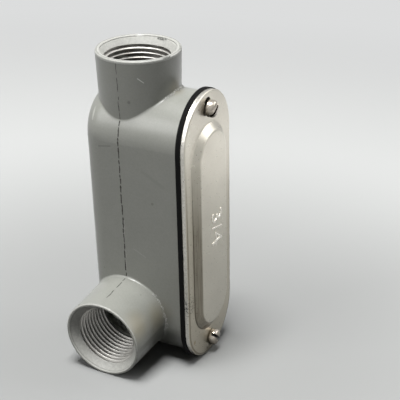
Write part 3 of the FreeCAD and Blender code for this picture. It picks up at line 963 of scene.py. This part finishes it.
def cover_screw(node):
    """Turns the screw's outline about its axis, and cuts the slot across its head."""
    low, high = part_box(node)
    seat = low.y + solid_head_height
    length = high.y - seat
    lower_edge = 0.4 * mm
    outline = [
        (-length, 0.0), (-length, shank_radius - tip_chamfer), (tip_chamfer - length, shank_radius),
        (0.0, shank_radius), (0.0, head_radius - lower_edge), (lower_edge, head_radius),
        (head_side - 0.15 * mm, head_radius),
    ]
    dome_steps = 9
    for step in range(dome_steps + 1):
        turn = math.pi / 2 * step / dome_steps
        radius = (head_radius - 0.12 * mm) * math.cos(turn) ** 0.8
        outline.append((head_side + head_crown * math.sin(turn), radius))
    bm = bmesh.new()
    corners = [bm.verts.new((radius, 0, along)) for along, radius in outline]
    edges = [bm.edges.new(pair) for pair in zip(corners, corners[1:])]
    bmesh.ops.spin(
        bm, geom=corners + edges, cent=(0, 0, 0), axis=(0, 0, 1), angle=2 * math.pi, steps=96, use_merge=True,
    )
    bmesh.ops.remove_doubles(bm, verts=bm.verts, dist=0.002 * mm)
    bmesh.ops.recalc_face_normals(bm, faces=bm.faces)
    blank = made_object("screw_blank", bm)
    bm = bmesh.new()
    slot_floor = head_height - slot_depth
    cutter_length, cutter_depth = 12 * mm, 4 * mm
    cutter_place = Matrix.Translation((0, 0, slot_floor + cutter_depth / 2))
    cutter_size = Matrix.Diagonal((cutter_length, slot_width, cutter_depth, 1))
    bmesh.ops.create_cube(bm, size=1.0, matrix=cutter_place @ cutter_size)
    cutter = made_object("slot_cutter", bm)
    bm = bmesh.new()
    bm.from_mesh(cut_away(blank, [cutter]))
    # Faces inside the slot take the near-black painted shade.
    for face in bm.faces:
        x, y, z = face.calc_center_median()
        between_walls = abs(y) < slot_width / 2 + 0.01 * mm and abs(x) < head_radius - 0.1 * mm
        in_depth = slot_floor - 0.01 * mm < z < head_height - 0.3 * mm
        face.material_index = int(between_walls and in_depth)
    place = Matrix.Translation((hub_axes.x, seat, (low.z + high.z) / 2))
    turn = Matrix.Rotation(math.radians(-slot_turn[node]), 4, "Y") @ Matrix.Rotation(math.pi / 2, 4, "X")
    bmesh.ops.transform(bm, matrix=place @ turn, verts=bm.verts)
    piece = new_piece(node + "_dressed", bm, [plated, slot_painted_shade], 40)
    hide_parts(node)


for node in slot_turn:
    cover_screw(node)


# Floor, light and camera. The object stands on its round lower end and leans on the rim of its
# side hub, so the floor slopes along X and touches both. Near the object the floor is painted darker, as
# painted shade; away from it the floor fades into the backdrop's tone. A patch beside the cover is lighter
# in glossy rays only, a painted reflection in the cover.
gasket_low, gasket_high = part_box("gasket")
round_end_radius = (gasket_high.x - gasket_low.x) / 2
rim_bottom = Vector((side_mouth_x, 0, hub_axes.z - hub_mouth_radius))
round_centre = Vector((hub_axes.x, 0, gasket_low.z + round_end_radius))
to_rim = rim_bottom - round_centre
lean = math.asin(round_end_radius / to_rim.length) - math.atan2(-to_rim.z, -to_rim.x)
bm = bmesh.new()
bmesh.ops.create_grid(bm, x_segments=1, y_segments=1, size=4.0)
floor_place = Matrix.Translation((rim_bottom.x, 0, rim_bottom.z)) @ Matrix.Rotation(lean, 4, "Y")
bmesh.ops.transform(bm, matrix=floor_place, verts=bm.verts)
floor = made_object("floor", bm)

floor_paint, tree, where = new_material("pale_floor")
rays = add(tree, "ShaderNodeLightPath").outputs
seen = add(tree, "ShaderNodeMath", {0: rays["Is Camera Ray"], 1: rays["Is Glossy Ray"]}, operation="MAXIMUM")
from_object = add(tree, "ShaderNodeVectorMath", {0: where}, operation="LENGTH").outputs["Value"]
far = add(tree, "ShaderNodeMapRange", {
    "Value": from_object, "From Min": 0.04, "From Max": 0.3,
}, interpolation_type="SMOOTHSTEP").outputs[0]
# Darker near the object: painted shade on the floor.
pale = add(tree, "ShaderNodeMix", {
    "Factor": far, 6: linear("#868786"), 7: linear("#acadac"),
}, data_type="RGBA")
# A patch beside the cover, lighter only in glossy rays: a painted reflection in the cover.
beside_cover = add(tree, "ShaderNodeVectorMath", {0: where, 1: (0.86, -0.5, 0.0)}, operation="DOT_PRODUCT")
painted_reflection_patch = add(tree, "ShaderNodeMapRange", {
    "Value": beside_cover.outputs["Value"], "From Min": 0.2, "From Max": 0.26,
}, interpolation_type="SMOOTHSTEP").outputs[0]
mirrored = add(tree, "ShaderNodeMath", {0: painted_reflection_patch, 1: rays["Is Glossy Ray"]}, operation="MULTIPLY")
floor_with_painted_reflection = add(tree, "ShaderNodeMix", {
    "Factor": mirrored.outputs[0], 6: pale.outputs[2], 7: linear("#e0e0e0"),
}, data_type="RGBA")
floor_colour = add(tree, "ShaderNodeMix", {
    "Factor": seen.outputs[0], 6: linear("#3c3c3c"), 7: floor_with_painted_reflection.outputs[2],
}, data_type="RGBA")
floor_shader = add(tree, "ShaderNodeBsdfPrincipled", {
    "Base Color": floor_colour.outputs[2], "Roughness": 0.9,
})
horizon = add(tree, "ShaderNodeEmission", {"Color": linear("#dcdddd")})
beyond = add(tree, "ShaderNodeMapRange", {
    "Value": from_object, "From Min": 0.3, "From Max": 0.8,
}, interpolation_type="SMOOTHSTEP").outputs[0]
fading = add(tree, "ShaderNodeMath", {0: beyond, 1: seen.outputs[0]}, operation="MULTIPLY").outputs[0]
floor_or_horizon = add(tree, "ShaderNodeMixShader", {
    0: fading, 1: floor_shader.outputs[0], 2: horizon.outputs[0],
})
finish_material(tree, floor_or_horizon)
floor.data.materials.append(floor_paint)


def area_light(name, place, aim, size, power):
    """A square soft light that faces a point."""
    lamp = bpy.data.lights.new(name, "AREA")
    lamp.size = size
    lamp.energy = power
    light = bpy.data.objects.new(name, lamp)
    bpy.context.collection.objects.link(light)
    light.location = place
    light.rotation_euler = (Vector(aim) - Vector(place)).to_track_quat("-Z", "Y").to_euler()


middle = (0.01, 0.0, 0.06)
area_light("overhead_softbox", (-0.21, 0.0, 1.8), middle, 0.7, 62.0)
area_light("window_softbox", (-1.21, 0.76, 0.98), middle, 0.8, 10.8)
area_light("side_softbox", (1.2, -1.2, 0.74), middle, 1.2, 12.0)

world = bpy.data.worlds.new("soft_room")
bpy.context.scene.world = world
world.use_nodes = True
tree = world.node_tree
tree.nodes.clear()
direction = add(tree, "ShaderNodeTexCoord").outputs["Generated"]
ceiling_side = add(tree, "ShaderNodeVectorMath", {
    0: direction, 1: (0.5, 0.25, 0.83),
}, operation="DOT_PRODUCT")
room_level = add(tree, "ShaderNodeMapRange", {
    "Value": ceiling_side.outputs["Value"], "From Min": -0.2, "From Max": 0.9, "To Max": 0.08,
})
rays = add(tree, "ShaderNodeLightPath").outputs
lit = add(tree, "ShaderNodeMath", {0: rays["Is Camera Ray"], 1: rays["Is Glossy Ray"]}, operation="MAXIMUM")
seen = add(tree, "ShaderNodeMath", {0: lit.outputs[0], 1: rays["Is Transmission Ray"]}, operation="MAXIMUM")
room_light = add(tree, "ShaderNodeBackground", {
    "Color": linear("#ffffff"), "Strength": room_level.outputs[0],
})
up = add(tree, "ShaderNodeSeparateXYZ", {0: direction}).outputs["Z"]
backdrop_tone = add(tree, "ShaderNodeMapRange", {"Value": up, "From Min": 0.2, "From Max": 0.9})
backdrop_colour = add(tree, "ShaderNodeMix", {
    "Factor": backdrop_tone.outputs[0], 6: linear("#dcdddd"), 7: linear("#ffffff"),
}, data_type="RGBA")
backdrop = add(tree, "ShaderNodeBackground", {"Color": backdrop_colour.outputs[2], "Strength": 1.0})
either = add(tree, "ShaderNodeMixShader", {
    0: seen.outputs[0], 1: room_light.outputs[0], 2: backdrop.outputs[0],
})
add(tree, "ShaderNodeOutputWorld", {"Surface": either.outputs[0]})

camera_data = bpy.data.cameras.new("camera")
camera_data.lens = 85.87
camera = bpy.data.objects.new("camera", camera_data)
bpy.context.collection.objects.link(camera)
camera_data.clip_start = 0.01
aim = Vector((35.95, -2.62, 51.8)) * mm
azimuth, elevation, roll = math.radians(-152.75), math.radians(27.87), math.radians(1.15)
distance = 392 * mm
towards_camera = Vector((
    math.cos(elevation) * math.cos(azimuth), math.cos(elevation) * math.sin(azimuth), math.sin(elevation),
))
camera.location = aim + towards_camera * distance
look = (-towards_camera).to_track_quat("-Z", "Y") @ Quaternion((0, 0, 1), -roll)
camera.rotation_euler = look.to_euler()
bpy.context.scene.camera = camera

bpy.context.scene.view_settings.view_transform = "Standard"
